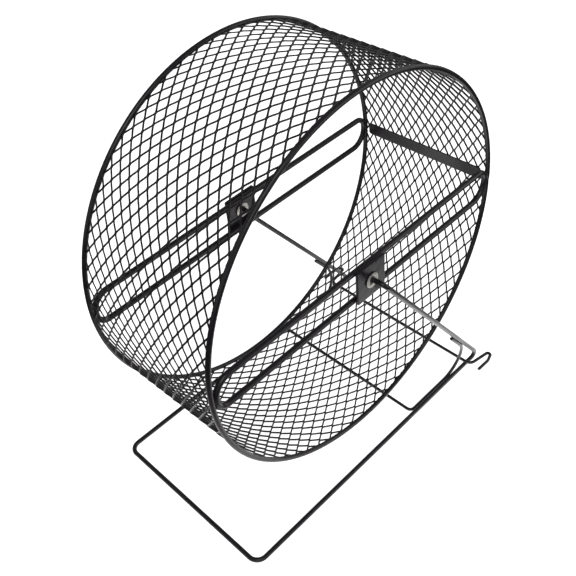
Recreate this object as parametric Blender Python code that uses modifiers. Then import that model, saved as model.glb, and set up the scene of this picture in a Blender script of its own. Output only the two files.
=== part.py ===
"""Wire hamster wheel: an expanded-metal drum that turns on a bent wire stand.

Lengths are in metres, +Z is up and +Y runs along the axle.
The origin is on the floor, straight below the middle of the axle.
"""

import math

import bmesh
import bpy
from mathutils import Vector

# Wheel rims and drum
rim_radius = 0.140
rim_wire = 0.0036
rim_spacing = 0.1174
strand_size = 0.0016
diamonds_around = 26
diamonds_across = 6

# Crossbar over the seam of the drum
seam_strip_end_clearance = 0.0029
seam_strip_width = 0.010
seam_strip_thickness = 0.0010
seam_strip_corner = 0.0025
seam_strip_height = 0.0057

# Spoke loops, hub plates and flanged bushes
loop_wire = 0.0043
loop_bar_spacing = 0.0236
loop_corner = 0.0085
plate_thickness = 0.0020
plate_corner = 0.0012
bush_play = 0.0025
bush_wall = 0.0010
bush_flange_reach = 0.0018
bush_flange_thickness = 0.0008

# Stand bent from one wire
stand_wire = 0.0035
riser_clearance = 0.0086
floor_clearance = 0.0247
rear_reach = 0.1286
front_reach = 0.1381
stub_reach_inside = 0.0045
axle_bend = 0.0045
fold_bend = 0.0040
front_bend = 0.0080

# Brace of thin wire between the runners
brace_wire = 0.0024
brace_cross_reach = 0.0408
brace_cross_bend = 0.0040
brace_knee_setback = 0.0181
brace_knee_bend = 0.0215
brace_neck_height = 0.0308
brace_neck_bend = 0.0035
brace_end_length = 0.0262

# Hook wire across the rear
hook_wire = 0.0024
hook_cross_setback = 0.0164
hook_root_overhang = 0.0054
hook_nose_overhang = 0.0090
hook_turn_overhang = 0.0122
hook_return_overhang = 0.0148
hook_tip_overhang = 0.0140
hook_nose_length = 0.0199
hook_turn_length = 0.0190
hook_return_length = 0.0120
hook_tip_setback = 0.0015
hook_root_bend = 0.0045
hook_nose_bend = 0.0019
hook_return_bend = 0.0120

# Clearance between pieces that touch on the real wheel, and how near points are welded
contact_gap = 0.0003
weld_distance = 0.00001

# Fineness of the round shapes
rim_segments = 72
wire_sides = 8
bush_segments = 32
bend_step = math.radians(15)

# Share of a round wire's radius at the middle of a flat side
flat_share = math.cos(math.pi / wire_sides)

# Sizes that follow from the ones above
axle_height = rim_radius + rim_wire / 2 + floor_clearance
rim_inner_radius = rim_radius - rim_wire / 2
rim_side = rim_spacing / 2
plate_size = loop_bar_spacing + loop_wire
plate_inner_side = rim_side + loop_wire / 2 + contact_gap
plate_centre_side = plate_inner_side + plate_thickness / 2
flange_side = plate_inner_side + plate_thickness + contact_gap + bush_flange_thickness
bush_bore = stand_wire + bush_play
bush_barrel = bush_bore + 2 * bush_wall
bush_flange = bush_barrel + 2 * bush_flange_reach
side = flange_side + riser_clearance + stand_wire / 2
stub_height = axle_height + bush_bore / 2 - stand_wire / 2 - contact_gap
stub_end_side = plate_inner_side - contact_gap - bush_flange_thickness - stub_reach_inside
runner_height = stand_wire / 2 * flat_share
hook_cross_reach = rear_reach - hook_cross_setback


def clear_scene():
    for item in list(bpy.data.objects):
        bpy.data.objects.remove(item, do_unlink=True)


def make_material(name, colour, roughness, metallic):
    material = bpy.data.materials.new(name)
    material.use_nodes = True
    shader = material.node_tree.nodes["Principled BSDF"]
    shader.inputs["Base Color"].default_value = (*colour, 1.0)
    shader.inputs["Roughness"].default_value = roughness
    shader.inputs["Metallic"].default_value = metallic
    material.diffuse_color = (*colour, 1.0)
    return material


def place(item, parent, material):
    """Put an object in the wheel's collection, under its parent, in its material."""
    for collection in list(item.users_collection):
        collection.objects.unlink(item)
    wheel_collection.objects.link(item)
    item.parent = parent
    if item.data is not None:
        item.data.materials.clear()
        item.data.materials.append(material)
    return item


def bent_path(corners, bends, closed=False):
    """Points of a wire that runs straight between its corners and is bent at each one."""
    points = []
    count = len(corners)
    for index, corner in enumerate(corners):
        if not closed and index in (0, count - 1):
            points.append(Vector(corner))
            continue
        here = Vector(corner)
        back = (Vector(corners[index - 1]) - here).normalized()
        ahead = (Vector(corners[(index + 1) % count]) - here).normalized()
        turn = math.pi - back.angle(ahead)
        radius = bends[index]
        run = radius * math.tan(turn / 2)
        middle = (back + ahead).normalized()
        centre = here + middle * (radius / math.cos(turn / 2))
        start = here + back * run - centre
        finish = here + ahead * run - centre
        steps = max(2, math.ceil(turn / bend_step))
        for step in range(steps + 1):
            share = step / steps
            weight_start = math.sin((1 - share) * turn) / math.sin(turn)
            weight_finish = math.sin(share * turn) / math.sin(turn)
            points.append(centre + start * weight_start + finish * weight_finish)
    return points


def wire(name, points, diameter, parent, material, closed=False):
    """A round wire along the points, with a flat side down where it lies level."""
    curve = bpy.data.curves.new(name, "CURVE")
    curve.dimensions = "3D"
    curve.twist_mode = "MINIMUM" if closed else "Z_UP"
    curve.bevel_depth = diameter / 2
    curve.bevel_resolution = (wire_sides - 4) // 2
    curve.use_fill_caps = True
    spline = curve.splines.new("POLY")
    spline.points.add(len(points) - 1)
    for point, place_at in zip(spline.points, points):
        point.co = (*place_at, 1.0)
        point.tilt = math.pi / wire_sides
    spline.use_cyclic_u = closed
    spline.use_smooth = True
    return place(bpy.data.objects.new(name, curve), parent, material)


def flat_piece(name, outlines, thickness, parent, material):
    """A flat sheet cut to the outlines, the first round its edge and the rest round its holes."""
    curve = bpy.data.curves.new(name, "CURVE")
    curve.dimensions = "2D"
    curve.fill_mode = "BOTH"
    curve.extrude = thickness / 2
    for outline in outlines:
        spline = curve.splines.new("POLY")
        spline.points.add(len(outline) - 1)
        for point, place_at in zip(spline.points, outline):
            point.co = (place_at[0], place_at[1], 0.0, 1.0)
        spline.use_cyclic_u = True
    return place(bpy.data.objects.new(name, curve), parent, material)


def rounded_rectangle(length, width, corner):
    half_length = length / 2
    half_width = width / 2
    corners = [
        (half_length, half_width, 0.0),
        (-half_length, half_width, 0.0),
        (-half_length, -half_width, 0.0),
        (half_length, -half_width, 0.0),
    ]
    return bent_path(corners, [corner] * len(corners), closed=True)


def circle(radius, segments):
    points = []
    for index in range(segments):
        angle = 2 * math.pi * index / segments
        points.append(Vector((radius * math.cos(angle), radius * math.sin(angle), 0.0)))
    return points


def rim(name, height):
    """One of the two thick wire rings that edge the drum."""
    bpy.ops.mesh.primitive_torus_add(
        major_radius=rim_radius,
        minor_radius=rim_wire / 2,
        major_segments=rim_segments,
        minor_segments=wire_sides,
        rotation=(math.pi / 2, 0.0, 0.0),
    )
    ring = bpy.context.object
    ring.name = name
    ring.data.shade_smooth()
    place(ring, wheel_hub, black_paint)
    ring.location = (0.0, height, 0.0)
    return ring


def running_mesh():
    """The drum's running surface: long diamonds of expanded metal between the rims."""
    around = 2 * math.pi
    across = rim_spacing - rim_wire - 2 * contact_gap - strand_size
    drum = bmesh.new()
    bmesh.ops.create_grid(
        drum, x_segments=diamonds_around, y_segments=diamonds_across, size=0.5
    )
    corners = set(drum.verts)
    bmesh.ops.poke(drum, faces=drum.faces[:])
    for vertex in drum.verts:
        angle = vertex.co.x * around
        vertex.co = Vector((
            rim_radius * math.cos(angle),
            vertex.co.y * across,
            rim_radius * math.sin(angle),
        ))
    bmesh.ops.remove_doubles(drum, verts=drum.verts[:], dist=weld_distance)
    corners = {vertex for vertex in corners if vertex.is_valid}
    grid_lines = [
        edge for edge in drum.edges
        if len(edge.link_faces) == 2 and all(vertex in corners for vertex in edge.verts)
    ]
    bmesh.ops.dissolve_edges(drum, edges=grid_lines, use_verts=False)
    half_diamonds = [face for face in drum.faces if len(face.verts) == 3]
    bmesh.ops.delete(drum, geom=half_diamonds, context="FACES")
    bmesh.ops.recalc_face_normals(drum, faces=drum.faces[:])
    data = bpy.data.meshes.new("running_mesh")
    drum.to_mesh(data)
    drum.free()
    item = place(bpy.data.objects.new("running_mesh", data), wheel_hub, black_paint)
    strands = item.modifiers.new("strands", "WIREFRAME")
    strands.thickness = strand_size
    strands.use_even_offset = False
    strands.use_boundary = True
    strands.use_replace = True
    return item


def seam_strip():
    """The flat crossbar that covers the drum's seam on the inside."""
    chord_angle = math.pi / (2 * diamonds_around)
    mesh_inner_radius = rim_radius * math.cos(chord_angle) - strand_size / 2
    outer_face = mesh_inner_radius - contact_gap
    length = rim_spacing - rim_wire - 2 * seam_strip_end_clearance
    outline = rounded_rectangle(length, seam_strip_width, seam_strip_corner)
    strip = flat_piece("seam_strip", [outline], seam_strip_thickness, wheel_hub, black_paint)
    distance = outer_face - seam_strip_thickness / 2
    angle = math.asin(seam_strip_height / distance)
    strip.rotation_euler = (math.pi / 2 - angle, 0.0, math.pi / 2)
    strip.location = (distance * math.cos(angle), 0.0, seam_strip_height)
    return strip


def spoke_loop(name, height):
    """A long wire loop across the rim, whose two bars carry the hub plate."""
    half_spacing = loop_bar_spacing / 2
    bend_start = half_spacing - loop_corner
    outer_radius = rim_inner_radius * math.cos(math.pi / rim_segments) - contact_gap
    end = math.sqrt(outer_radius ** 2 - bend_start ** 2) - loop_wire / 2
    corners = [
        (end, height, half_spacing),
        (-end, height, half_spacing),
        (-end, height, -half_spacing),
        (end, height, -half_spacing),
    ]
    points = bent_path(corners, [loop_corner] * len(corners), closed=True)
    return wire(name, points, loop_wire, wheel_hub, black_paint, closed=True)


def hub_plate(name, direction):
    """The square plate outside the loop's bars, with the hole for its bush."""
    hole = circle(bush_barrel / 2 + contact_gap, bush_segments)
    outline = rounded_rectangle(plate_size, plate_size, plate_corner)
    plate = flat_piece(name, [outline, hole], plate_thickness, wheel_hub, black_paint)
    plate.rotation_euler = (math.pi / 2, 0.0, 0.0)
    plate.location = (0.0, direction * plate_centre_side, 0.0)
    return plate


def hub_bush(name, direction):
    """The flanged eyelet in the hub plate, which turns on the stand's stub."""
    bore = bush_bore / 2
    barrel = bush_barrel / 2
    flange = bush_flange / 2
    inner = plate_thickness / 2 + contact_gap
    outer = inner + bush_flange_thickness
    profile = [
        (bore, outer),
        (flange, outer),
        (flange, inner),
        (barrel, inner),
        (barrel, -inner),
        (flange, -inner),
        (flange, -outer),
        (bore, -outer),
    ]
    data = bpy.data.meshes.new(name)
    edges = [(index, (index + 1) % len(profile)) for index in range(len(profile))]
    data.from_pydata([(radius, 0.0, height) for radius, height in profile], edges, [])
    bush = place(bpy.data.objects.new(name, data), wheel_hub, zinc)
    turned = bush.modifiers.new("turned", "SCREW")
    turned.axis = "Z"
    turned.steps = bush_segments
    turned.render_steps = bush_segments
    turned.use_merge_vertices = True
    turned.merge_threshold = weld_distance
    turned.use_normal_calculate = False
    bush.rotation_euler = (math.pi / 2, 0.0, 0.0)
    bush.location = (0.0, direction * plate_centre_side, 0.0)
    return bush


def mirrored(points):
    """The points followed by their mirror images on the other side, in one run."""
    other_side = [(x, -y, z) for x, y, z in reversed(points)]
    return list(points) + other_side


def stand():
    """Stub, riser, runner and front bar, then the same again on the far side."""
    corners = mirrored([
        (0.0, -stub_end_side, stub_height),
        (0.0, -side, stub_height),
        (rear_reach, -side, runner_height),
        (-front_reach, -side, runner_height),
    ])
    bends = [0.0, axle_bend, fold_bend, front_bend]
    bends += bends[::-1]
    points = bent_path(corners, bends)
    return wire("stand_wire", points, stand_wire, stand_base, black_paint)


def brace():
    """The U of thin wire on the floor, whose arms rise to the undersides of the risers."""
    spacing = (stand_wire + brace_wire) / 2 + contact_gap
    height = brace_wire / 2 * flat_share
    riser = Vector((-rear_reach, 0.0, stub_height - runner_height)).normalized()
    under = Vector((-riser.z, 0.0, riser.x))
    rise = (brace_neck_height - runner_height - under.z * spacing) / riser.z
    neck = Vector((rear_reach, -side, runner_height)) + under * spacing + riser * rise
    end = neck + riser * brace_end_length
    arm = side - spacing
    corners = mirrored([
        tuple(end),
        tuple(neck),
        (rear_reach - brace_knee_setback, -arm, height),
        (brace_cross_reach, -arm, height),
    ])
    bends = [0.0, brace_neck_bend, brace_knee_bend, brace_cross_bend]
    bends += bends[::-1]
    return wire("brace_wire", bent_path(corners, bends), brace_wire, stand_base, black_paint)


def hook():
    """The thin wire over both runners, whose ends are bent into open hooks."""
    height = runner_height + (stand_wire + hook_wire) / 2 + contact_gap
    corners = mirrored([
        (hook_cross_reach - hook_tip_setback, -side - hook_tip_overhang, height),
        (hook_cross_reach + hook_return_length, -side - hook_return_overhang, height),
        (hook_cross_reach + hook_turn_length, -side - hook_turn_overhang, height),
        (hook_cross_reach + hook_nose_length, -side - hook_nose_overhang, height),
        (hook_cross_reach, -side - hook_root_overhang, height),
    ])
    bends = [0.0, hook_return_bend, hook_nose_bend, hook_nose_bend, hook_root_bend]
    bends += bends[::-1]
    return wire("hook_wire", bent_path(corners, bends), hook_wire, stand_base, black_paint)


clear_scene()
wheel_collection = bpy.data.collections.new("hamster_wheel")
bpy.context.scene.collection.children.link(wheel_collection)
black_paint = make_material("black_paint", (0.022, 0.020, 0.022), 0.38, 0.0)
zinc = make_material("zinc", (0.46, 0.45, 0.38), 0.35, 1.0)

stand_base = place(bpy.data.objects.new("stand_base", None), None, None)
wheel_hub = place(bpy.data.objects.new("wheel_hub", None), None, None)
wheel_hub.location = (0.0, 0.0, axle_height)

stand()
brace()
hook()
running_mesh()
seam_strip()
for where, direction in (("near", -1), ("far", 1)):
    rim("rim_" + where, direction * rim_side)
    spoke_loop("spoke_loop_" + where, direction * rim_side)
    hub_plate("hub_plate_" + where, direction)
    hub_bush("hub_bush_" + where, direction)
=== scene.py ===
"""Looks of the wire hamster wheel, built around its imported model.

Lengths are in metres, +Z is up and +Y runs along the axle, away from the camera.
"""

import math

import bmesh
import bpy
from mathutils import Matrix, Vector


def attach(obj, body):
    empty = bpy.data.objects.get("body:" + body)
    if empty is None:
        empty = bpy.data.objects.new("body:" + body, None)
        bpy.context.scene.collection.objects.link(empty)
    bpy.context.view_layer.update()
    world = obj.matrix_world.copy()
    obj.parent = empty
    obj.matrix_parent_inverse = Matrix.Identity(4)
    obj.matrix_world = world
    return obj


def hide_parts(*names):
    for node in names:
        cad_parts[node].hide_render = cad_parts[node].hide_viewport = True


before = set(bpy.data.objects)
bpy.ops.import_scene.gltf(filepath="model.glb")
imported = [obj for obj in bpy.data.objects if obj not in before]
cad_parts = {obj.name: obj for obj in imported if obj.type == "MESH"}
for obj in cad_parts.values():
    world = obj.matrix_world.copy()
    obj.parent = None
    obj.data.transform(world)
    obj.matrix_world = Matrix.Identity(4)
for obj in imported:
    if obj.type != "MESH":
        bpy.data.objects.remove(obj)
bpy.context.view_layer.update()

# Sizes of the wheel that the solids have too
axle_height = 0.1665
rim_radius = 0.140
rim_wire = 0.0036
rim_side = 0.0587
loop_wire = 0.0043
loop_half_spacing = 0.0118
loop_tight_bend = 0.0085
plate_size = 0.0279
plate_thickness = 0.0020
plate_corner = 0.0012
bush_bore = 0.0060
bush_barrel = 0.0080
bush_flange = 0.0116
bush_flange_thickness = 0.0008
strip_width = 0.010
strip_thickness = 0.0010
strip_height = 0.0057
solid_strand = 0.0016
solid_diamonds_around = 26
contact_gap = 0.0003

# Sizes of the stand that the solids have too
side = 0.0746
rear_reach = 0.1286
front_reach = 0.1381
stub_reach_inside = 0.0045
axle_bend = 0.0045
fold_bend = 0.0040
front_bend = 0.0080
brace_cross_reach = 0.0408
brace_cross_bend = 0.0040
brace_neck_height = 0.0308
brace_neck_bend = 0.0035
brace_end_length = 0.0262
hook_cross_reach = 0.1122

# Sizes for the looks alone, where the photograph differs from the solids or shows more
loop_rear_bend = 0.0140
loop_front_bend = 0.0125
boss_radius = 0.00575
boss_height = 0.0005
strip_length = 0.1072
strip_corner = 0.0019
strip_shift = -0.0004
stand_wire = 0.0037
thin_wire = 0.0027
base_skew = 0.025
brace_knee_reach = 0.1125
brace_knee_bend = 0.0200
weld_sink = 0.00005

# Places that follow from the sizes
stub_height = axle_height + bush_bore / 2 - stand_wire / 2 - contact_gap
runner_height = stand_wire / 2
plate_inner_side = rim_side + loop_wire / 2 + contact_gap
plate_centre_side = plate_inner_side + plate_thickness / 2
stub_end_side = plate_inner_side - contact_gap - bush_flange_thickness - stub_reach_inside

# Each side: its way along the axle, how far the loop is turned, how deep the welds press the
# loop's ends into the rim, and how far behind and over the axle the plate's dimples lie
sides = (
    ("near", -1, math.radians(0.45), 0.0004, [(0.0056, 0.0123)]),
    ("far", 1, math.radians(1.05), 0.0016, []),
)
dimple_size = (0.0011, 0.00045, 0.0011)

# Where each rim's ends are butt welded, in degrees, how far its lower end sits inward there,
# what share of its radius the weld takes off, and over how many degrees both fade
joint_angle = 1.2
joint_step = 0.0006
joint_step_fade = 4.0
joint_neck = 0.10
joint_neck_fade = 0.4

# Weld beads at a loop's rear end: distance behind the axle, heights over it, and size. Those
# at the front end are the same turned half round.
bead_reach = 0.13792
bead_heights = (0.0066, 0.0018)
bead_size = (0.0009, 0.0014, 0.0021)

# Expanded metal: rows of bonds climb five half rows in one turn, since the sheet lies askew.
# The first angle is in radians, and the columns lean in radians per metre along the axle.
columns_around = 67
rows_climbed = 5
half_row = 0.0043535
first_angle = 0.2536
first_side = 0.00118
column_lean = -0.13
bond_length = 0.0013
strand_width = 0.00111
strand_tilt = 0.42
strand_bend = 0.15
strand_steps = 3
sheet_thickness = 0.00089
edge_bulge = 0.00007
edge_inset = 0.00010
least_outward = 0.2

# Where the sheet strays along the axle: middle and width in degrees, and how far it strays
top_stray = (104, 17, -0.0014)
seam_stray = (-3, 9, 0.0010)

# Weld nuggets where the strands cut at the sheet's edges meet the rims
nugget_size = (0.00085, 0.0008, 0.00095)
nugget_inset = 0.0015
nugget_merge = 0.0032
cut_tolerance = 1e-6

# Roundings of the plates: the boss's shoulder, its foot, the flat margins and the outer edge
shoulder = 0.0003
round_middle = 0.00008
foot_rise = 0.0001
foot_reach = 0.0002
foot_margin = 0.0006
edge_margin = 0.0007
edge_round = 0.00028
edge_drop = 0.00010

# Rounded-over ends of a wire: distance from the end and radius, as shares of the wire's radius
end_rounding = ((0.0, 0.80), (0.12, 0.95), (0.28, 1.0))

# Detail of the round shapes
wire_sides = 16
bend_step = math.radians(6)
straight_step = 0.02
lathe_segments = 48
corner_steps = 6


def finish_mesh(name, bm, body, nodes, material, smooth_angle=40):
    """Make an object of a bmesh that rides on a body and stands for its nodes."""
    data = bpy.data.meshes.new(name)
    bmesh.ops.recalc_face_normals(bm, faces=bm.faces[:])
    bm.to_mesh(data)
    bm.free()
    item = bpy.data.objects.new(name, data)
    bpy.context.scene.collection.objects.link(item)
    data.materials.append(material)
    data.shade_smooth()
    data.set_sharp_from_angle(angle=math.radians(smooth_angle))
    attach(item, body)
    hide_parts(*nodes)


def bent_path(corners, bends, closed=False):
    """Points of a wire that runs straight between its corners and is bent at each one."""
    points = []
    count = len(corners)
    for index, corner in enumerate(corners):
        here = Vector(corner)
        if not closed and index in (0, count - 1):
            points.append(here)
            continue
        back = (Vector(corners[index - 1]) - here).normalized()
        ahead = (Vector(corners[(index + 1) % count]) - here).normalized()
        turn = math.pi - back.angle(ahead)
        radius = bends[index]
        run = radius * math.tan(turn / 2)
        centre = here + (back + ahead).normalized() * (radius / math.cos(turn / 2))
        start = here + back * run - centre
        finish = here + ahead * run - centre
        steps = max(3, math.ceil(turn / bend_step))
        for step in range(steps + 1):
            share = step / steps
            weight_start = math.sin((1 - share) * turn) / math.sin(turn)
            weight_finish = math.sin(share * turn) / math.sin(turn)
            points.append(centre + start * weight_start + finish * weight_finish)
    filled = []
    last = len(points) if closed else len(points) - 1
    for index in range(last):
        here = points[index]
        ahead = points[(index + 1) % len(points)]
        pieces = max(1, round((ahead - here).length / straight_step))
        filled += [here.lerp(ahead, step / pieces) for step in range(pieces)]
    if not closed:
        filled.append(points[-1])
    return filled


def sweep(bm, points, radius, closed=False, radii=None):
    """A round tube along the points, its open ends slightly rounded over."""
    count = len(points)
    tangents = []
    for index in range(count):
        if closed:
            tangents.append((points[(index + 1) % count] - points[index - 1]).normalized())
        else:
            ahead = points[min(index + 1, count - 1)]
            back = points[max(index - 1, 0)]
            tangents.append((ahead - back).normalized())

    # Carry one direction across the wire from point to point, without twist
    up = Vector((0, 0, 1)) if abs(tangents[0].z) < 0.9 else Vector((1, 0, 0))
    normal = (up - tangents[0] * up.dot(tangents[0])).normalized()
    normals = []
    for index in range(count):
        if index:
            turn = tangents[index - 1].rotation_difference(tangents[index])
            normal = turn @ normal
            normal = (normal - tangents[index] * normal.dot(tangents[index])).normalized()
        normals.append(normal)
    twist = 0.0
    if closed:
        turn = tangents[-1].rotation_difference(tangents[0])
        arrived = turn @ normals[-1]
        twist = arrived.angle(normals[0])
        if arrived.cross(normals[0]).dot(tangents[0]) < 0:
            twist = -twist

    rings = []
    places = [(index, 0.0, 1.0) for index in range(count)]
    if not closed:
        start = [(0, shift, scale) for shift, scale in end_rounding]
        finish = [(count - 1, -shift, scale) for shift, scale in reversed(end_rounding)]
        places = start + places[1:-1] + finish
    for index, shift, scale in places:
        across = normals[index].copy()
        if twist:
            across.rotate(Matrix.Rotation(twist * index / count, 3, tangents[index]))
        other = tangents[index].cross(across)
        centre = points[index] + tangents[index] * (shift * radius)
        here = radius * scale * (radii[index] if radii else 1.0)
        ring = []
        for step in range(wire_sides):
            angle = 2 * math.pi * step / wire_sides
            ring.append(bm.verts.new(
                centre + (across * math.cos(angle) + other * math.sin(angle)) * here
            ))
        rings.append(ring)
    total = len(rings)
    for index in range(total if closed else total - 1):
        one = rings[index]
        two = rings[(index + 1) % total]
        for step in range(wire_sides):
            nxt = (step + 1) % wire_sides
            bm.faces.new((one[step], one[nxt], two[nxt], two[step]))
    if not closed:
        bm.faces.new(rings[0][::-1])
        bm.faces.new(rings[-1])


ball = bmesh.new()
bmesh.ops.create_icosphere(ball, subdivisions=2, radius=1.0)
ball_points = [vert.co.copy() for vert in ball.verts]
ball_faces = [[vert.index for vert in face.verts] for face in ball.faces]
ball.free()


def blob(bm, centre, sizes, turn=None):
    """A small rounded bead, such as a weld under the paint."""
    matrix = Matrix.Translation(centre)
    if turn is not None:
        matrix = matrix @ turn.to_4x4()
    matrix = matrix @ Matrix.Diagonal((*sizes, 1.0))
    corners = [bm.verts.new(matrix @ point) for point in ball_points]
    for face in ball_faces:
        bm.faces.new([corners[index] for index in face])


def lathe(bm, profile, matrix):
    """A closed ring turned from a profile of radius and height."""
    rings = []
    for step in range(lathe_segments):
        angle = 2 * math.pi * step / lathe_segments
        rings.append([
            bm.verts.new(matrix @ Vector((r * math.cos(angle), r * math.sin(angle), h)))
            for r, h in profile
        ])
    for step in range(lathe_segments):
        one = rings[step]
        two = rings[(step + 1) % lathe_segments]
        for index in range(len(profile)):
            nxt = (index + 1) % len(profile)
            bm.faces.new((one[index], two[index], two[nxt], one[nxt]))


# Materials


def new_material(name):
    """A material with its node tree and its shader."""
    material = bpy.data.materials.new(name)
    material.use_nodes = True
    return material, material.node_tree, material.node_tree.nodes["Principled BSDF"]


def noise(tree, coordinates, scale, detail, rough=0.5):
    node = tree.nodes.new("ShaderNodeTexNoise")
    node.inputs["Scale"].default_value = scale
    node.inputs["Detail"].default_value = detail
    node.inputs["Roughness"].default_value = rough
    tree.links.new(coordinates, node.inputs["Vector"])
    return node.outputs["Fac"]


def ramp(tree, value, stops):
    """Colours by value, from stops of position and colour."""
    node = tree.nodes.new("ShaderNodeValToRGB")
    elements = node.color_ramp.elements
    while len(elements) < len(stops):
        elements.new(0.5)
    for element, (position, colour) in zip(elements, stops):
        element.position = position
        element.color = (*colour, 1.0)
    tree.links.new(value, node.inputs["Fac"])
    return node.outputs["Color"]


def spread(tree, value, low, high):
    """Stretch a noise, which mostly lies between 0.3 and 0.7, to run from low to high."""
    node = tree.nodes.new("ShaderNodeMapRange")
    node.inputs["From Min"].default_value = 0.3
    node.inputs["From Max"].default_value = 0.7
    node.inputs["To Min"].default_value = low
    node.inputs["To Max"].default_value = high
    tree.links.new(value, node.inputs["Value"])
    return node.outputs["Result"]


def bump(tree, height, strength, distance):
    node = tree.nodes.new("ShaderNodeBump")
    node.inputs["Strength"].default_value = strength
    node.inputs["Distance"].default_value = distance
    tree.links.new(height, node.inputs["Height"])
    return node


def paint_material(name, dark, light, rough_low, rough_high):
    """Satin black paint: faint mottling, uneven gloss, orange peel and slight runs."""
    material, tree, shader = new_material(name)
    coordinates = tree.nodes.new("ShaderNodeTexCoord").outputs["Object"]
    mottle = noise(tree, coordinates, scale=260.0, detail=5.0, rough=0.6)
    cloud = noise(tree, coordinates, scale=38.0, detail=3.0)
    grain = noise(tree, coordinates, scale=900.0, detail=4.0)
    flow = noise(tree, coordinates, scale=170.0, detail=2.0)
    colour = ramp(tree, mottle, [(0.30, dark), (0.72, light)])
    tree.links.new(colour, shader.inputs["Base Color"])
    tree.links.new(spread(tree, cloud, rough_low, rough_high), shader.inputs["Roughness"])
    shader.inputs["Specular IOR Level"].default_value = 0.42
    peel = bump(tree, grain, strength=0.25, distance=0.00012)
    runs = bump(tree, flow, strength=0.30, distance=0.0004)
    tree.links.new(peel.outputs["Normal"], runs.inputs["Normal"])
    tree.links.new(runs.outputs["Normal"], shader.inputs["Normal"])
    return material


def zinc_material(name, stops, rough_low, rough_high):
    """Dull yellowish zinc plate with fine marks and darker blotches."""
    material, tree, shader = new_material(name)
    shader.inputs["Metallic"].default_value = 0.85
    coordinates = tree.nodes.new("ShaderNodeTexCoord").outputs["Object"]
    blotch = noise(tree, coordinates, scale=420.0, detail=6.0, rough=0.65)
    cloud = noise(tree, coordinates, scale=900.0, detail=3.0)
    grain = noise(tree, coordinates, scale=1500.0, detail=4.0)
    tree.links.new(ramp(tree, blotch, stops), shader.inputs["Base Color"])
    tree.links.new(spread(tree, cloud, rough_low, rough_high), shader.inputs["Roughness"])
    marks = bump(tree, grain, strength=0.12, distance=0.0001)
    tree.links.new(marks.outputs["Normal"], shader.inputs["Normal"])
    return material


wheel_paint = paint_material(
    "satin_black_paint", (0.0112, 0.0095, 0.0116), (0.0212, 0.0182, 0.0220), 0.24, 0.36
)
mesh_paint = paint_material(
    "dipped_black_paint", (0.0098, 0.0085, 0.0097), (0.0188, 0.0165, 0.0186), 0.30, 0.45
)
zinc = zinc_material(
    "zinc_plate",
    [
        (0.28, (0.30, 0.295, 0.265)),
        (0.48, (0.60, 0.595, 0.545)),
        (0.75, (0.78, 0.775, 0.71)),
    ],
    0.34, 0.55,
)


# Wheel


def turned(point, angle):
    """A point of the wheel turned about the axle, from +X towards +Z."""
    axle = Vector((0, 0, axle_height))
    return Matrix.Rotation(-angle, 3, "Y") @ (point - axle) + axle


def rim(name, node, height, loop_turn):
    """The wire ring at one edge of the drum, butt welded where its ends meet."""
    bm = bmesh.new()
    points = []
    radii = []
    for past in [0.0, 0.3] + [step * 2.0 for step in range(1, 180)] + [359.1, 359.7]:
        turn = math.radians(joint_angle + past)
        radius = rim_radius - joint_step * math.exp((past - 360) / joint_step_fade)
        points.append(Vector((
            radius * math.cos(turn), height, axle_height + radius * math.sin(turn)
        )))
        from_weld = min(past, 360 - past)
        radii.append(1.0 - joint_neck * math.exp(-from_weld / joint_neck_fade))
    sweep(bm, points, rim_wire / 2, closed=True, radii=radii)
    for way in (1, -1):
        for high in bead_heights:
            place = Vector((way * bead_reach, height, axle_height + way * high))
            blob(bm, turned(place, loop_turn), bead_size)
    finish_mesh(name, bm, "wheel", [node], wheel_paint)


def sheet_stray(angle):
    """How far the sheet strays along the axle where it was rolled unevenly."""
    top_middle, top_width, top_most = top_stray
    seam_middle, seam_width, seam_most = seam_stray
    top = math.degrees(angle) - top_middle
    seam = (math.degrees(angle) + (180 - seam_middle)) % 360 - 180
    return (
        top_most * math.exp(-(top / top_width) ** 2)
        + seam_most * math.exp(-(seam / seam_width) ** 2)
    )


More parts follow.
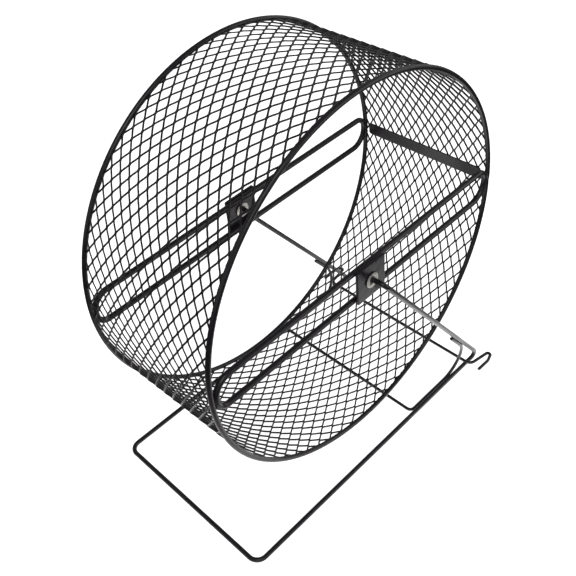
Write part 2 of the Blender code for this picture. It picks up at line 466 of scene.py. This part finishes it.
def flat_pattern():
    """The sheet's bonds and strands without thickness, rolled round and cut at the rims."""
    turns = columns_around - rows_climbed / 2
    column = 2 * math.pi / turns
    climb = rows_climbed * half_row / (2 * math.pi)
    reach = rim_side + half_row

    def settle(i, j):
        """The same bond, counted within the first turn."""
        while first_angle + (i + j / 2) * column >= 2 * math.pi:
            i, j = i - columns_around, j + rows_climbed
        while first_angle + (i + j / 2) * column < 0:
            i, j = i + columns_around, j - rows_climbed
        return i, j

    def spot(i, j):
        angle = first_angle + (i + j / 2) * column
        return angle, first_side + j * half_row + climb * angle

    flat = bmesh.new()

    def vertex(angle, side_way, along, across, rise):
        turn = angle + along / rim_radius
        place = side_way + across + sheet_stray(turn % (2 * math.pi))
        turn += column_lean * place
        radius = rim_radius + rise
        return flat.verts.new((
            radius * math.cos(turn), place, axle_height + radius * math.sin(turn)
        ))

    # The bonds between the rims and just beyond them all lie within these counts
    keys = []
    for j in range(-40, 41):
        for i in range(-60, 130):
            if settle(i, j) == (i, j) and abs(spot(i, j)[1]) < reach + half_row:
                keys.append((i, j))

    bonds = {}
    half = bond_length / 2
    for key in keys:
        angle, side_way = spot(*key)
        corners = []
        for along, across in (
            (-half, 1), (half, 1), (half, 0), (half, -1), (-half, -1), (-half, 0)
        ):
            corners.append(vertex(
                angle, side_way, along, across * strand_width,
                -across * strand_width * strand_tilt,
            ))
        bonds[key] = corners
        flat.faces.new((corners[0], corners[5], corners[2], corners[1]))
        flat.faces.new((corners[5], corners[4], corners[3], corners[2]))

    # Two strands leave each bond towards the next row, one either way round the drum
    for i, j in keys:
        angle, side_way = spot(i, j)
        for direction, key in ((1, settle(i, j + 1)), (-1, settle(i - 1, j + 1))):
            if key not in bonds:
                continue
            here = bonds[i, j]
            there = bonds[key]
            if direction > 0:
                first = (here[1], here[2])
                last = (there[5], there[4])
            else:
                first = (here[0], here[5])
                last = (there[2], there[3])
            run = column * rim_radius / 2 - bond_length
            lift = half_row + climb * direction * column / 2 - strand_width
            before = first
            for step in range(1, strand_steps):
                share = step / strand_steps
                curve = share - strand_bend * math.sin(2 * math.pi * share) / (2 * math.pi)
                slope = lift * (1 - strand_bend * math.cos(2 * math.pi * share)) / run
                length = math.hypot(1, slope)
                centre_along = half + run * share
                centre_across = strand_width / 2 + lift * curve
                centre_rise = strand_width * strand_tilt * (curve - 0.5)
                pair = []
                for edge in (1, -1):
                    shift = edge * strand_width / 2
                    pair.append(vertex(
                        angle, side_way,
                        direction * (centre_along - shift * slope / length),
                        centre_across + shift / length,
                        centre_rise - shift * strand_tilt,
                    ))
                flat.faces.new((before[0], before[1], pair[1], pair[0]))
                before = pair
            flat.faces.new((before[0], before[1], last[1], last[0]))

    for side_way in (-rim_side, rim_side):
        everything = flat.verts[:] + flat.edges[:] + flat.faces[:]
        bmesh.ops.bisect_plane(
            flat, geom=everything, plane_co=(0, side_way, 0), plane_no=(0, side_way, 0),
            clear_outer=True,
        )
    bmesh.ops.recalc_face_normals(flat, faces=flat.faces[:])
    flat.verts.index_update()
    return flat


def edge_nuggets(flat):
    """Angle and place along the axle of each weld nugget at the two cut edges."""
    nuggets = []
    for side_way in (-rim_side, rim_side):
        cut = sorted(
            math.atan2(vert.co.z - axle_height, vert.co.x)
            for vert in flat.verts if abs(vert.co.y - side_way) < cut_tolerance
        )
        group = cut[:1]
        for angle in cut[1:] + [math.inf]:
            if angle - group[-1] > nugget_merge / rim_radius:
                middle = sum(group) / len(group)
                nuggets.append((middle, side_way * (1 - nugget_inset / rim_side)))
                group = []
            group.append(angle)
    return nuggets


def thickened(flat):
    """An outer and an inner skin, joined round every opening by a bulging edge."""
    bm = bmesh.new()
    outward = {}
    for edge in flat.edges:
        if len(edge.link_faces) == 1:
            middle = (edge.verts[0].co + edge.verts[1].co) / 2
            away = middle - edge.link_faces[0].calc_center_median()
            along = (edge.verts[1].co - edge.verts[0].co).normalized()
            away -= along * away.dot(along)
            for end in edge.verts:
                outward[end.index] = outward.get(end.index, Vector()) + away.normalized()
    skins = {}
    for vert in flat.verts:
        radial = Vector((vert.co.x, 0, vert.co.z - axle_height)).normalized()
        normal = (radial + Vector((0, strand_tilt, 0))).normalized()
        away = outward.get(vert.index, Vector())
        away -= normal * away.dot(normal)
        if away.length > least_outward:
            away.normalize()
        outer = vert.co + normal * (sheet_thickness / 2) - away * edge_inset
        inner = vert.co - normal * (sheet_thickness / 2) - away * edge_inset
        skins[vert.index] = (
            bm.verts.new(outer), bm.verts.new(inner), bm.verts.new(vert.co + away * edge_bulge)
        )
    for face in flat.faces:
        radial = face.calc_center_median() - Vector((0, 0, axle_height))
        radial.y = 0
        around = [vert.index for vert in face.verts]
        if face.normal.dot(radial) < 0:
            around.reverse()
        bm.faces.new([skins[index][0] for index in around])
        bm.faces.new([skins[index][1] for index in reversed(around)])
    for edge in flat.edges:
        if len(edge.link_faces) == 1:
            one, two = (skins[end.index] for end in edge.verts)
            bm.faces.new((one[0], two[0], two[2], one[2]))
            bm.faces.new((one[2], two[2], two[1], one[1]))
    return bm


def expanded_metal():
    """The running surface: one slit and stretched sheet with long diamonds round the drum."""
    flat = flat_pattern()
    nuggets = edge_nuggets(flat)
    bm = thickened(flat)
    flat.free()
    for angle, side_way in nuggets:
        place = Vector((
            rim_radius * math.cos(angle), side_way, axle_height + rim_radius * math.sin(angle)
        ))
        blob(bm, place, nugget_size, Matrix.Rotation(-angle, 3, "Y"))
    loose = [vert for vert in bm.verts if not vert.link_faces]
    bmesh.ops.delete(bm, geom=loose, context="VERTS")
    finish_mesh(
        "expanded_metal_drum", bm, "wheel", ["running_mesh"], mesh_paint,
        smooth_angle=65,
    )


def spoke_loop(name, node, height, loop_turn, sunk):
    """The long wire loop across one rim, with a tight and a wide bend at each end."""
    bm = bmesh.new()
    bend_start = loop_half_spacing - loop_tight_bend
    outer_radius = (rim_radius - rim_wire / 2) - contact_gap
    end = math.sqrt(outer_radius ** 2 - bend_start ** 2) - loop_wire / 2 + sunk
    top = axle_height + loop_half_spacing
    low = axle_height - loop_half_spacing
    corners = [(end, height, top), (-end, height, top), (-end, height, low), (end, height, low)]
    bends = [loop_tight_bend, loop_front_bend, loop_tight_bend, loop_rear_bend]
    points = bent_path(corners, bends, closed=True)
    sweep(bm, [turned(point, loop_turn) for point in points], loop_wire / 2, closed=True)
    finish_mesh(name, bm, "wheel", [node], wheel_paint)


def rounded_outline(length, width, corner):
    points = []
    for sign_x, sign_y, first in ((1, 1, 0), (-1, 1, 1), (-1, -1, 2), (1, -1, 3)):
        for step in range(corner_steps + 1):
            angle = (first + step / corner_steps) * math.pi / 2
            points.append((
                sign_x * (length / 2 - corner) + corner * math.cos(angle),
                sign_y * (width / 2 - corner) + corner * math.sin(angle),
            ))
    return points


def plate(name, node, direction, loop_turn, dimples):
    """The square plate with a low boss round its eyelet, its edges rounded by the paint."""
    bm = bmesh.new()
    outline = rounded_outline(plate_size, plate_size, plate_corner)
    hole_radius = bush_barrel / 2 + contact_gap
    count = len(outline)
    half = plate_thickness / 2
    boss = half + boss_height
    centre = direction * plate_centre_side

    def square(inset, depth):
        share = 1 - inset / (plate_size / 2)
        return [
            bm.verts.new((x * share, centre + depth, axle_height + z * share))
            for x, z in outline
        ]

    def circle(radius, depth):
        ring = []
        for x, z in outline:
            angle = math.atan2(z, x)
            ring.append(bm.verts.new((
                radius * math.cos(angle), centre + depth, axle_height + radius * math.sin(angle)
            )))
        return ring

    # One face, from the hole over the boss to the edge, and its mirror image back to the hole
    top = [
        circle(hole_radius, boss),
        circle(boss_radius - shoulder, boss),
        circle(boss_radius - round_middle, boss - round_middle),
        circle(boss_radius, boss - shoulder),
        circle(boss_radius, half + foot_rise),
        circle(boss_radius + foot_reach, half),
        circle(boss_radius + foot_margin, half),
        square(edge_margin, half),
        square(edge_round, half),
        square(round_middle, half - edge_drop),
        square(0.0, half - edge_round),
    ]
    loops = top[:]
    for ring in reversed(top):
        mirror = [
            bm.verts.new((vert.co.x, 2 * centre - vert.co.y, vert.co.z)) for vert in ring
        ]
        loops.append(mirror)
    for index in range(len(loops)):
        one = loops[index]
        two = loops[(index + 1) % len(loops)]
        for step in range(count):
            nxt = (step + 1) % count
            bm.faces.new((one[step], one[nxt], two[nxt], two[step]))
    for x, z in dimples:
        blob(bm, Vector((x, centre + direction * half, axle_height + z)), dimple_size)
    for vert in bm.verts:
        vert.co = turned(vert.co, loop_turn)
    finish_mesh(name, bm, "wheel", [node], wheel_paint, smooth_angle=35)


def eyelet(name, node, direction):
    """The flanged eyelet: a rolled collar on both faces of the plate."""
    bm = bmesh.new()
    bore = bush_bore / 2
    barrel = bush_barrel / 2
    flange = bush_flange / 2
    inner = plate_thickness / 2 + boss_height + contact_gap * 0.3
    outer = plate_thickness / 2 + contact_gap + bush_flange_thickness
    lip = (outer - inner) * 0.42

    # Radius and height from the bore over the rolled collar to the barrel
    half = [
        (bore, outer - 0.0009),
        (bore + 0.00008, outer - 0.0004),
        (bore + 0.0003, outer - 0.0001),
        (bore + 0.0007, outer),
        (flange - 0.0012, outer - 0.00006),
        (flange - lip, outer - 0.00016),
        (flange - lip * 0.3, outer - lip * 0.75),
        (flange, outer - lip * 1.4),
        (flange - lip * 0.3, inner + lip * 0.2),
        (flange - lip, inner),
        (barrel, inner),
    ]
    profile = half + [(radius, -height) for radius, height in reversed(half)]
    matrix = Matrix.Translation((0, direction * plate_centre_side, axle_height))
    matrix = matrix @ Matrix.Rotation(math.pi / 2, 4, "X")
    lathe(bm, profile, matrix)
    finish_mesh(name, bm, "wheel", [node], zinc, smooth_angle=50)


def strip():
    """The flat crossbar over the drum's seam, lying where the solids have it."""
    bm = bmesh.new()
    outline = rounded_outline(strip_length, strip_width, strip_corner)
    mesh_inner = rim_radius * math.cos(math.pi / (2 * solid_diamonds_around)) - solid_strand / 2
    distance = mesh_inner - contact_gap - strip_thickness / 2
    angle = math.asin(strip_height / distance)
    radial = Vector((math.cos(angle), 0, math.sin(angle)))
    tangent = Vector((-math.sin(angle), 0, math.cos(angle)))
    centre = Vector((0, 0, axle_height)) + radial * distance

    # Rounded edges: how far each ring lies in from the outline, and its height over the middle
    # as a share of half the thickness
    section = [(0.0007, 1.0), (0.0002, 1.0), (0.00005, 0.75), (0.0, 0.4)]
    rings = []
    for inset, depth in section + [(inset, -depth) for inset, depth in reversed(section)]:
        ring = []
        for y, w in outline:
            ring.append(bm.verts.new(
                centre
                + Vector((0, 1, 0)) * (y * (1 - inset / (strip_length / 2)) + strip_shift)
                + tangent * (w * (1 - inset / (strip_width / 2)))
                + radial * (depth * (strip_thickness / 2))
            ))
        rings.append(ring)
    count = len(outline)
    for one, two in zip(rings, rings[1:]):
        for step in range(count):
            nxt = (step + 1) % count
            bm.faces.new((one[step], one[nxt], two[nxt], two[step]))
    bm.faces.new(rings[0])
    bm.faces.new(rings[-1])
    finish_mesh(
        "seam_strip_pressed", bm, "wheel", ["seam_strip"], wheel_paint,
        smooth_angle=35,
    )


for where, direction, loop_turn, sunk, dimples in sides:
    height = direction * rim_side
    rim("rim_wire_" + where, "rim_" + where, height, loop_turn)
    spoke_loop("loop_wire_" + where, "spoke_loop_" + where, height, loop_turn, sunk)
    plate("pressed_plate_" + where, "hub_plate_" + where, direction, loop_turn, dimples)
    eyelet("eyelet_" + where, "hub_bush_" + where, direction)
expanded_metal()
strip()


# Stand


def wire_piece(name, node, corners, bends, diameter):
    """A wire bent alike on both sides, given by its near half, with its foot askew."""
    bm = bmesh.new()
    mirrored = corners + [(x, -y, z) for x, y, z in reversed(corners)]
    skewed = [
        (x + base_skew * y * (1 - z / stub_height), y, z) for x, y, z in mirrored
    ]
    sweep(bm, bent_path(skewed, bends + bends[::-1]), diameter / 2)
    finish_mesh(name, bm, "stand", [node], wheel_paint)


wire_piece(
    "stand_frame", "stand_wire",
    [
        (0.0, -stub_end_side, stub_height),
        (0.0, -side, stub_height),
        (rear_reach, -side, runner_height),
        (-front_reach, -side, runner_height),
    ],
    [0.0, axle_bend, fold_bend, front_bend],
    stand_wire,
)

# The brace's arms lie under the risers, and its feet beside the runners
spacing = (stand_wire + thin_wire) / 2 - weld_sink
riser = Vector((-rear_reach, 0.0, stub_height - runner_height)).normalized()
under = Vector((-riser.z, 0.0, riser.x))
rise = (brace_neck_height - runner_height - under.z * spacing) / riser.z
neck = Vector((rear_reach, -side, runner_height)) + under * spacing + riser * rise
brace_end = neck + riser * brace_end_length
brace_height = thin_wire / 2
wire_piece(
    "brace_frame", "brace_wire",
    [
        tuple(brace_end),
        tuple(neck),
        (brace_knee_reach, -(side - spacing), brace_height),
        (brace_cross_reach, -(side - spacing), brace_height),
    ],
    [0.0, brace_neck_bend, brace_knee_bend, brace_cross_bend],
    thin_wire,
)

# The near hook from its open end: distance behind the cross wire, distance outside the
# runner, bend. The wire lies on the runners.
hook_corners = (
    (-0.0015, 0.0140, 0.0),
    (0.0120, 0.0144, 0.0120),
    (0.0190, 0.0122, 0.0019),
    (0.0199, 0.0090, 0.0019),
    (-0.0011, 0.0054, 0.0056),
)
hook_height = runner_height + (stand_wire + thin_wire) / 2 - weld_sink
wire_piece(
    "hook_frame", "hook_wire",
    [
        (hook_cross_reach + behind, -side - outside, hook_height)
        for behind, outside, bend in hook_corners
    ],
    [bend for behind, outside, bend in hook_corners],
    thin_wire,
)


# Stage, light and camera


def stage_mesh(name, points, faces):
    data = bpy.data.meshes.new(name)
    data.from_pydata(points, [], faces)
    item = bpy.data.objects.new(name, data)
    bpy.context.scene.collection.objects.link(item)
    return item


# The floor and the pale room round it light nothing: only the camera sees them
room_reach = 6.0
room_height = 8.0
square_corners = ((-1, -1), (1, -1), (1, 1), (-1, 1))
floor = stage_mesh(
    "floor",
    [
        (x * room_reach, y * room_reach, z)
        for z in (0.0, room_height) for x, y in square_corners
    ],
    [(0, 1, 2, 3), (4, 5, 6, 7), (0, 1, 5, 4), (1, 2, 6, 5), (2, 3, 7, 6), (3, 0, 4, 7)],
)
floor_paint, _, floor_shader = new_material("pale_floor")
floor_shader.inputs["Base Color"].default_value = (0.92, 0.92, 0.92, 1.0)
floor_shader.inputs["Roughness"].default_value = 0.9
floor_shader.inputs["Specular IOR Level"].default_value = 0.0
floor_shader.inputs["Emission Color"].default_value = (1.0, 1.0, 1.0, 1.0)
floor_shader.inputs["Emission Strength"].default_value = 1.0
floor.data.materials.append(floor_paint)
floor.visible_glossy = False
floor.visible_diffuse = False
floor.visible_shadow = False


def area_light(name, place, aim, size, power, deep=None):
    """A round lamp, or one of size by deep, that the camera doesn't see."""
    lamp = bpy.data.lights.new(name, "AREA")
    lamp.shape = "RECTANGLE" if deep else "DISK"
    lamp.size = size
    if deep:
        lamp.size_y = deep
    lamp.energy = power
    item = bpy.data.objects.new(name, lamp)
    bpy.context.scene.collection.objects.link(item)
    item.location = place
    item.rotation_euler = (Vector(aim) - Vector(place)).to_track_quat("-Z", "Y").to_euler()
    item.visible_camera = False
    return item


target = (0.0, 0.0, 0.12)
area_light("key", (-0.8, -0.9, 1.6), target, size=1.2, power=9.0)
area_light("fill", (1.3, -0.4, 0.9), target, size=1.0, power=2.0)
area_light("right_softbox", (0.78, -1.08, 0.34), (0.0, 0.0, 0.10), size=0.9, power=3.0)

# Panels on the floor that shine up into the low wires: brightness, middle, size along X and Y
panel_height = 0.0002
for name, glow, x, y, long, wide in (
    ("floor_glow_inside", 1.5, 0.074, -0.043, 0.076, 0.056),
    ("floor_glow_outside", 1.5, 0.078, -0.101, 0.090, 0.060),
    ("floor_glow_beside", 0.8, 0.150, -0.130, 0.054, 0.110),
):
    power = glow * math.pi * long * wide
    panel = area_light(name, (x, y, panel_height), (x, y, 1.0), long, power, deep=wide)
    panel.rotation_euler = (math.pi, 0.0, 0.0)

# A glowing plane just under the floor, which the wires reflect and the camera doesn't see
bounce_height = -0.004
bounce = stage_mesh(
    "floor_bounce", [(x, y, bounce_height) for x, y in square_corners], [(0, 1, 2, 3)]
)
bounce.visible_camera = False
bounce_light, tree, _ = new_material("floor_bounce")
tree.nodes.clear()
pool = tree.nodes.new("ShaderNodeMapping")
pool.vector_type = "TEXTURE"
pool.inputs["Location"].default_value = (0.01, 0.0, 0.0)
pool.inputs["Scale"].default_value = (0.44, 0.32, 0.40)
tree.links.new(tree.nodes.new("ShaderNodeTexCoord").outputs["Object"], pool.inputs["Vector"])
fall = tree.nodes.new("ShaderNodeTexGradient")
fall.gradient_type = "SPHERICAL"
tree.links.new(pool.outputs["Vector"], fall.inputs["Vector"])
bounce_stops = [
    (0.0, (0.03, 0.03, 0.03)),
    (0.15, (0.06, 0.06, 0.06)),
    (0.375, (0.42, 0.415, 0.42)),
    (0.52, (1.4, 1.36, 1.39)),
    (0.72, (1.4, 1.36, 1.39)),
    (0.82, (0.95, 0.94, 0.95)),
    (1.0, (0.95, 0.94, 0.95)),
]
glowing = tree.nodes.new("ShaderNodeEmission")
tree.links.new(ramp(tree, fall.outputs["Fac"], bounce_stops), glowing.inputs["Color"])
emitted = tree.nodes.new("ShaderNodeOutputMaterial")
tree.links.new(glowing.outputs["Emission"], emitted.inputs["Surface"])
bounce.data.materials.append(bounce_light)

# The world shades from straight down, at 0, past a bright horizon, just over 0.5, to straight
# up, at 1, and its green is a touch weaker than its red and blue
world_stops = [
    (0.0, 0.05), (0.485, 0.05), (0.51, 0.75), (0.60, 0.50), (0.72, 0.20), (1.0, 0.12),
]
world_green = 0.985
world = bpy.data.worlds.new("studio")
world.use_nodes = True
tree = world.node_tree
surroundings = tree.nodes["Background"]
surroundings.inputs["Strength"].default_value = 1.0
heading = tree.nodes.new("ShaderNodeTexCoord")
parts = tree.nodes.new("ShaderNodeSeparateXYZ")
tree.links.new(heading.outputs["Generated"], parts.inputs["Vector"])
level = tree.nodes.new("ShaderNodeMapRange")
level.inputs["From Min"].default_value = -1.0
level.inputs["From Max"].default_value = 1.0
tree.links.new(parts.outputs["Z"], level.inputs["Value"])
shade = ramp(tree, level.outputs["Result"], [
    (position, (value, value * world_green, value)) for position, value in world_stops
])
tree.links.new(shade, surroundings.inputs["Color"])
bpy.context.scene.world = world
bpy.context.scene.view_settings.view_transform = "Standard"

# The camera as it was fitted to the photograph: the directions that point right, down and
# forward in the picture, and how far the middle of the axle lies along them from the camera
view_right = Vector((0.69080381, -0.71952128, -0.07126863))
view_down = Vector((-0.52026237, -0.42619498, -0.74005737))
view_forward = Vector((0.50211269, 0.54831284, -0.66875696))
view_offset = Vector((0.07027355, -0.2313731, 4.16167317)) * rim_radius
lens_pixels = 828.43
image_pixels = 576
sensor_width = 36.0

camera_data = bpy.data.cameras.new("camera")
camera_data.sensor_fit = "HORIZONTAL"
camera_data.sensor_width = sensor_width
camera_data.lens = sensor_width * lens_pixels / image_pixels
camera_data.clip_start = 0.01
camera_data.clip_end = 50.0
camera = bpy.data.objects.new("camera", camera_data)
bpy.context.scene.collection.objects.link(camera)
camera_turn = Matrix((view_right, -view_down, -view_forward)).transposed()
to_view = Matrix((view_right, view_down, view_forward))
camera.matrix_world = Matrix.Translation(
    Vector((0, 0, axle_height)) - to_view.transposed() @ view_offset
) @ camera_turn.to_4x4()
bpy.context.scene.camera = camera
